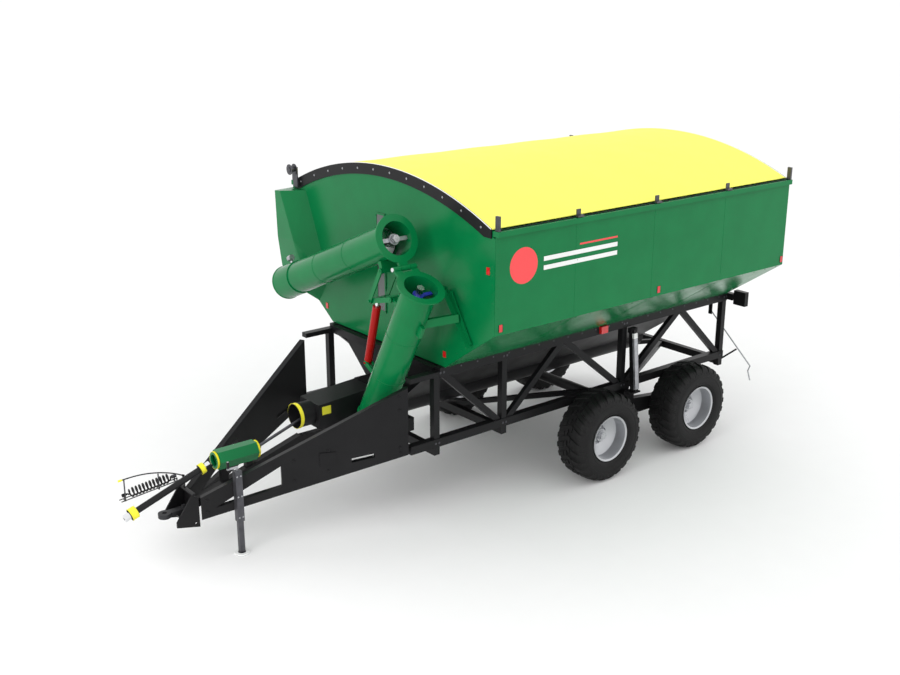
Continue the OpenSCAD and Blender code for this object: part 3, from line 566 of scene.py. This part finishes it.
def make_rear_ribs():
    """Pressed stiffeners up the rear wall."""
    bm = bmesh.new()
    for y in (-1.2, -0.4, 0.4, 1.2):
        slab(bm, at(-HOPPER_L - 0.028, y - 0.04, 2.15), at(-HOPPER_L, y + 0.04, 3.36), edge=0.008)
    for z in (2.48, 3.40):
        slab(bm, at(-HOPPER_L - 0.02, -1.86, z - 0.03), at(-HOPPER_L, 1.86, z + 0.03), edge=0.006)
    finish_piece("rear_ribs", bm, "green_paint", "frame")


def make_window_frame():
    bm = bmesh.new()
    for y in (-0.132, 0.032):
        slab(bm, at(0.009, y - 0.012, 2.272), at(0.013, y + 0.012, 3.478))
        for k in range(9):
            hex_bolt(bm, at(0.013, y, 2.30 + 0.143 * k), (1, 0, 0), 0.006, 0.005)
    for z in (2.283, 2.875, 3.467):
        slab(bm, at(0.009, -0.138, z - 0.012), at(0.0125, 0.038, z + 0.012))
    finish_piece("window_frame", bm, "green_paint", "frame")


make_front_rivets()
make_rear_ribs()
make_window_frame()


# Plain graphic on the left side: a red disc with white and red bars beside it.


def make_graphic():
    bm = bmesh.new()
    centre = at(-0.40, WALL_Y, 3.18)
    lathe(bm, [(0.2, 0.0), (0.2, 0.0008), (0, 0.0009)], turned_to(centre, (0, 1, 0)), steps=64)
    slab(bm, at(-1.84, WALL_Y, 3.285), at(-1.20, WALL_Y + 0.001, 3.305), edge=0.0002)
    finish_piece("side_graphic_red", bm, "red_paint", "frame", material="graphic_red")
    bm = bmesh.new()
    slab(bm, at(-1.84, WALL_Y + 0.0017, 3.185), at(-0.69, WALL_Y + 0.0026, 3.235), edge=0.0002)
    slab(bm, at(-1.84, WALL_Y + 0.0017, 3.085), at(-0.69, WALL_Y + 0.0026, 3.135), edge=0.0002)
    finish_piece("side_graphic_white", bm, "white_paint", "frame")


make_graphic()


# ------------------------------------------------------------------ wheels

WHEEL_X = (-2.260, -3.960)
HALF_TRACK = 1.450
AXLE_Z = 0.580
# Half of the tyre's outline, bead to crown: radius against distance from the wheel plane.
CARCASS = [(0.287, -0.187), (0.300, -0.188), (0.312, -0.196), (0.326, -0.212), (0.345, -0.222),
           (0.375, -0.228), (0.416, -0.2298), (0.455, -0.226), (0.490, -0.217), (0.520, -0.204),
           (0.541, -0.184), (0.552, -0.155), (0.558, -0.110), (0.561, -0.055), (0.562, 0.0)]
LUGS = 26
LUG_TOP = 0.5795


def carcass_radius(z):
    """Radius of the tread's bed at a distance from the wheel plane."""
    bed = [(0.0, 0.562), (0.055, 0.561), (0.110, 0.558), (0.155, 0.552), (0.184, 0.541), (0.204, 0.520),
           (0.217, 0.490)]
    z = abs(z)
    for (z0, r0), (z1, r1) in zip(bed, bed[1:]):
        if z <= z1:
            return r0 + (r1 - r0) * (z - z0) / (z1 - z0)
    return bed[-1][1]


def wheel_matrix(k):
    side = 1 if k < 2 else -1
    return Matrix.Translation(at(WHEEL_X[k % 2], side * HALF_TRACK, AXLE_Z)) @ Matrix.Rotation(
        math.radians(-90 * side), 4, "X")


def add_lug(bm, matrix, stations, width, height):
    """A tread bar through (z, angle) stations, standing on the carcass."""
    rows = []
    for z, angle in stations:
        bed = carcass_radius(z) - 0.004
        top = min(LUG_TOP, carcass_radius(z) + height)
        row = []
        for radius, half in ((bed, width * 0.56), (top, width * 0.44)):
            for sign in (-1, 1):
                a = angle + sign * half / radius
                row.append(bm.verts.new(matrix @ Vector((radius * math.cos(a), radius * math.sin(a), z))))
        rows.append(row)
    for a, b in zip(rows, rows[1:]):
        bm.faces.new((a[0], a[2], b[2], b[0]))
        bm.faces.new((a[2], a[3], b[3], b[2]))
        bm.faces.new((a[3], a[1], b[1], b[3]))
    for row in (rows[0], rows[-1]):
        bm.faces.new((row[0], row[1], row[3], row[2]))


def make_tyre(k, node, body):
    matrix = wheel_matrix(k)
    bm = bmesh.new()
    inner = [(0.530, 0.0), (0.528, 0.100), (0.505, 0.170), (0.450, 0.195), (0.380, 0.198), (0.310, 0.160)]
    outside = CARCASS + [(r, -z) for r, z in reversed(CARCASS[:-1])]
    inside = [(r, z) for r, z in reversed(inner)] + [(r, -z) for r, z in inner[1:]]
    lathe(bm, outside + inside, matrix, steps=96, closed=True)
    pitch = 2 * math.pi / LUGS
    for i in range(LUGS):
        for sign in (-1, 1):
            start = pitch * (i + (0.5 if sign > 0 else 0.0))
            zs = (0.062, 0.095, 0.130, 0.160, 0.186, 0.205, 0.216)
            add_lug(bm, matrix, [(sign * z, start + (z - 0.06) * 0.75) for z in zs], 0.068, 0.0175)
            crown = [(sign * z, start - 0.055 + z * 0.9) for z in (0.008, 0.028, 0.05)]
            add_lug(bm, matrix, crown, 0.074, 0.0172)
    for i in range(52):
        for sign in (-1, 1):
            angle = 2 * math.pi * i / 52
            spoke = matrix @ Matrix.Rotation(angle, 4, "Z")
            foot = spoke @ Vector((0.475, 0, sign * 0.2215))
            tip = spoke @ Vector((0.505, 0, sign * 0.211))
            rod(bm, foot, tip, 0.004, 6)
    for sign in (-1, 1):
        for radius, z in ((0.352, 0.2245), (0.445, 0.2275)):
            bead = [(radius - 0.006, sign * (z - 0.003)), (radius - 0.003, sign * (z + 0.002)),
                    (radius + 0.003, sign * (z + 0.002)), (radius + 0.006, sign * (z - 0.003))]
            lathe(bm, bead, matrix, 96, closed=True)
    tyre = finish_piece("tread_" + node, bm, "tyre_rubber", body, smooth_angle=32)
    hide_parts(node)


def make_rim_bolts(k, label, body):
    matrix = wheel_matrix(k)
    axis = (matrix.to_3x3() @ Vector((0, 0, 1))).normalized()
    bm = bmesh.new()
    for i in range(10):
        a = 2 * math.pi * (i + 0.5) / 10
        place = matrix @ Vector((0.110 * math.cos(a), 0.110 * math.sin(a), -0.0198))
        hex_bolt(bm, place, axis, 0.014, 0.02)
        rod(bm, place + axis * 0.018, place + axis * 0.034, 0.0075, 10)
    for i in range(6):
        a = 2 * math.pi * i / 6
        hex_bolt(bm, matrix @ Vector((0.036 * math.cos(a), 0.036 * math.sin(a), 0.088)), axis, 0.005, 0.005)
    rod(bm, matrix @ Vector((0.215, 0.04, 0.005)), matrix @ Vector((0.222, 0.042, 0.055)), 0.006, 10)
    finish_piece("wheel_nuts_" + label, bm, "zinc_steel", body)


for wheel, place_name in enumerate(("front_left", "rear_left", "front_right", "rear_right")):
    make_tyre(wheel, "tyre_" + place_name, "wheel_" + place_name)
    make_rim_bolts(wheel, place_name, "wheel_" + place_name)


# ------------------------------------------------------------------ augers

LEAN = 27.9
FOLD = 140.5
LOWER_LEN = 2.221
UPPER_LEN = 2.560
HINGE_OFF = 0.330
TUBE_R = 0.195
LOWER = Matrix.Translation(at(0.500, 0.333, 1.000)) @ Matrix.Rotation(math.radians(-LEAN), 4, "X")
HINGE = Vector((0, -HINGE_OFF, LOWER_LEN))
UPPER = (LOWER @ Matrix.Translation(HINGE) @ Matrix.Rotation(math.radians(FOLD), 4, "X")
         @ Matrix.Translation(-HINGE))


def ring_of_bolts(bm, frame_matrix, radius, z, direction, count, size):
    turn = frame_matrix.to_3x3()
    for i in range(count):
        a = 2 * math.pi * (i + 0.5) / count
        place = frame_matrix @ Vector((radius * math.cos(a), radius * math.sin(a), z))
        hex_bolt(bm, place, turn @ Vector(direction), size, size * 0.8)


def tube_band(bm, frame_matrix, z, width=0.012, lift=0.004, radius=TUBE_R):
    """A weld bead or band round a tube."""
    lathe(bm, [(radius - 0.001, z), (radius + lift, z + width * 0.25), (radius + lift, z + width * 0.75),
               (radius - 0.001, z + width)], frame_matrix, steps=72)


def make_lower_tube_detail():
    bm = bmesh.new()
    ring_of_bolts(bm, LOWER, 0.247, LOWER_LEN - 0.017, (0, 0, -1), 14, 0.010)
    finish_piece("lower_flange_bolts", bm, "zinc_steel", "frame")
    bm = bmesh.new()
    for z in (0.262, 0.92, 1.52, LOWER_LEN - 0.036):
        tube_band(bm, LOWER, z)
    finish_piece("lower_tube_welds", bm, "green_paint", "frame")


def make_upper_tube_detail():
    bm = bmesh.new()
    ring_of_bolts(bm, UPPER, 0.247, LOWER_LEN + 0.017, (0, 0, 1), 14, 0.010)
    finish_piece("upper_flange_bolts", bm, "zinc_steel", "upper_auger")
    bm = bmesh.new()
    for z in (LOWER_LEN + 0.019, LOWER_LEN + 0.86, LOWER_LEN + 1.55):
        tube_band(bm, UPPER, z)
    tube_band(bm, UPPER, LOWER_LEN + UPPER_LEN - 0.02, 0.018, 0.006, TUBE_R + 0.012)
    finish_piece("upper_tube_welds", bm, "green_paint", "upper_auger")


def make_work_light_glass():
    bm = bmesh.new()
    face = UPPER @ Vector((0, TUBE_R + 0.072, LOWER_LEN + UPPER_LEN - 0.1995))
    axis = UPPER.to_3x3() @ Vector((0, 0, 1))
    lathe(bm, [(0.037, 0.0), (0.037, 0.004), (0.030, 0.006), (0.012, 0.0085), (0, 0.009)],
          turned_to(face, axis), steps=32)
    finish_piece("work_light_lens", bm, "bright_steel", "upper_auger")


make_lower_tube_detail()
make_upper_tube_detail()
make_work_light_glass()


# ------------------------------------------------------------------ chassis and driveline detail


TRUSS_FACE_Y = 1.138
DRAWBAR_REAR_X = 0.510
DRAWBAR_FRONT_X = 2.650
DRAWBAR_FRONT_Y = 0.180
DRAWBAR_BOLTS = [(0.60, 1.66), (0.60, 1.50), (0.60, 1.05), (0.60, 0.98), (1.35, 0.86), (1.35, 1.10),
                 (1.70, 0.78), (1.70, 1.02), (2.58, 0.52), (2.58, 0.66)]


def drawbar_line(x):
    """How far the drawbar's outer face is from the middle at station x."""
    share = (x - DRAWBAR_REAR_X) / (DRAWBAR_FRONT_X - DRAWBAR_REAR_X)
    return TRUSS_FACE_Y + share * (DRAWBAR_FRONT_Y - TRUSS_FACE_Y)


def make_drawbar_bolts(side, label):
    bm = bmesh.new()
    turn = math.atan2(drawbar_line(2.64) - drawbar_line(0.515), 2.64 - 0.515)
    out = Vector((-math.sin(turn), math.cos(turn) * side, 0))
    for x, z in DRAWBAR_BOLTS:
        foot = at(x, side * drawbar_line(x), z)
        hex_bolt(bm, foot, out, 0.015, 0.013)
    finish_piece("drawbar_bolts_" + label, bm, "chassis_paint", "frame")


def make_truss_bolts(side, label):
    bm = bmesh.new()
    out = Vector((0, side, 0))
    for x in (0.10, -0.93, -3.01, -5.05):
        for dx in (-0.025, 0.025):
            hex_bolt(bm, at(x + dx, side * TRUSS_FACE_Y, 0.98), out, 0.010, 0.009)
            hex_bolt(bm, at(min(x, 0.03) + dx, side * TRUSS_FACE_Y, 1.83), out, 0.010, 0.009)
    for k in range(20):
        x = -0.25 - 0.245 * k
        if abs(x + 2.58) > 0.1 and abs(x + 3.11) > 0.09:
            hex_bolt(bm, at(x, side * TRUSS_FACE_Y, 1.855), out, 0.007, 0.006)
    finish_piece("truss_bolts_" + label, bm, "dark_steel", "frame")


for frame_side, frame_label in ((1, "left"), (-1, "right")):
    make_drawbar_bolts(frame_side, frame_label)
    make_truss_bolts(frame_side, frame_label)

PTO_JOINT = at(2.420, 0, 0.978)
PTO_TIP = at(3.440, 0, 0.625)
PTO_AXIS = (PTO_TIP - PTO_JOINT).normalized()
PTO_LENGTH = (PTO_TIP - PTO_JOINT).length


def make_guard_bell(name, place, axis, radius, length, body):
    """A ribbed bell of soft yellow plastic."""
    profile = [(radius + 0.0015, 0.0)]
    for k in range(5):
        z = length * (k + 0.5) / 5.5
        profile.append((radius + 0.002, z))
        profile.append((radius + 0.005, z + length * 0.05))
        profile.append((radius + 0.002, z + length * 0.1))
    profile += [(radius + 0.006, length * 0.97), (radius + 0.006, length), (radius + 0.001, length)]
    bm = bmesh.new()
    lathe(bm, profile, turned_to(place, axis), steps=40)
    return finish_piece(name, bm, "yellow_plastic", body)


make_guard_bell("guard_bell_front", PTO_JOINT + PTO_AXIS * (PTO_LENGTH - 0.150), PTO_AXIS, 0.066, 0.078,
                "pto_guard")
make_guard_bell("guard_bell_rear", PTO_JOINT + PTO_AXIS * 0.066, PTO_AXIS, 0.058, 0.058, "pto_guard")
make_guard_bell("housing_collar_front", at(2.3375, 0, 1.000), (1, 0, 0), 0.0965, 0.024, "frame")
make_guard_bell("housing_collar_rear", at(1.8475, 0, 1.000), (-1, 0, 0), 0.0965, 0.024, "frame")
make_guard_bell("driveline_collar", at(1.262, 0, 1.265), (1, 0, 0), 0.1455, 0.046, "frame")


def make_driveline_plate():
    """A plain yellow plate on the guard's left side."""
    bm = bmesh.new()
    slab(bm, at(0.93, 0.190, 1.27), at(1.05, 0.192, 1.37), edge=0.0006)
    finish_piece("guard_plate", bm, "yellow_plastic", "frame")


def make_lamp_bezels():
    bm = bmesh.new()
    for side in (1, -1):
        for x in (-0.06, -2.579, -5.01):
            for dx in (-0.0485, 0.0035):
                low, high = sorted((side * 2.0005, side * 2.0065))
                slab(bm, at(x + dx, low, 2.4965), at(x + dx + 0.005, high, 2.5835), edge=0.001)
    finish_piece("reflector_frames", bm, "black_plastic", "frame")


make_driveline_plate()
make_lamp_bezels()


def make_hanger_struts():
    """Grey outer faces of the struts from the rails down to the wheel hangers, with a pale cap on top."""
    low, high = Vector((-3.110, 1.250, 0.940)), Vector((-3.110, 1.178, 1.690))
    for side, label in ((1, "left"), (-1, "right")):
        start = mirrored(at(*low), side)
        end = mirrored(at(*high), side)
        along = (end - start).normalized()
        out = mirrored(Vector((0, along.z, -along.y * side)), side)
        turn = Matrix((Vector((1, 0, 0)), along, out)).transposed().to_4x4()
        place = Matrix.Translation(start) @ turn
        length = (end - start).length
        for name, first, last, slot in (("hanger_strut_", 0.0, length - 0.07, "zinc_steel"),
                                        ("hanger_cap_", length - 0.065, length, "white_paint")):
            bm = bmesh.new()
            slab(bm, (-0.036, first, 0.0455), (0.036, last, 0.0515), place)
            slab(bm, (-0.036, first, 0.028), (-0.0315, last, 0.0515), place)
            slab(bm, (0.0315, first, 0.028), (0.036, last, 0.0515), place)
            finish_piece(name + label, bm, slot, "frame")


make_hanger_struts()


JACK_X = 2.290
JACK_Y = 0.398
JACK_HALF_DEPTH = 0.036
CRANK_REACH = 0.105


def make_jack_detail():
    bm = bmesh.new()
    for z in (0.45, 0.70, 0.94):
        for dx in (-1, 1):
            hex_bolt(bm, at(JACK_X + dx * 0.022, JACK_Y + JACK_HALF_DEPTH, z), (0, 1, 0), 0.007, 0.006)
    finish_piece("jack_bolts", bm, "zinc_steel", "frame")
    bm = bmesh.new()
    lathe(bm, [(0.0115, 0.0), (0.016, 0.004), (0.0175, 0.02), (0.016, 0.045), (0.0175, 0.062), (0.014, 0.073),
               (0.0115, 0.075)], turned_to(at(JACK_X + CRANK_REACH, JACK_Y, 1.052), (0, 0, 1)), steps=24)
    finish_piece("jack_grip", bm, "black_plastic", "jack_crank")
    bm = bmesh.new()
    plate = [(0.0825, 0.002), (0.0845, 0.004), (0.0845, 0.0160), (0.0825, 0.0185), (0.045, 0.0200),
             (0.045, 0.0161), (0.0825, 0.0161)]
    lathe(bm, plate, turned_to(at(JACK_X, JACK_Y, 0), (0, 0, 1)), steps=64, closed=True)
    finish_piece("jack_foot_plate", bm, "white_paint", "jack_leg")


make_jack_detail()


# ------------------------------------------------------------------ floor


FLOOR_RADIUS = 450.0


def make_floor():
    bm = bmesh.new()
    bmesh.ops.create_circle(bm, cap_ends=True, segments=96, radius=FLOOR_RADIUS)
    mesh = bpy.data.meshes.new("studio_floor")
    bm.to_mesh(mesh)
    bm.free()
    mesh.materials.append(MATERIALS["floor"])
    obj = bpy.data.objects.new("studio_floor", mesh)
    bpy.context.scene.collection.objects.link(obj)


make_floor()
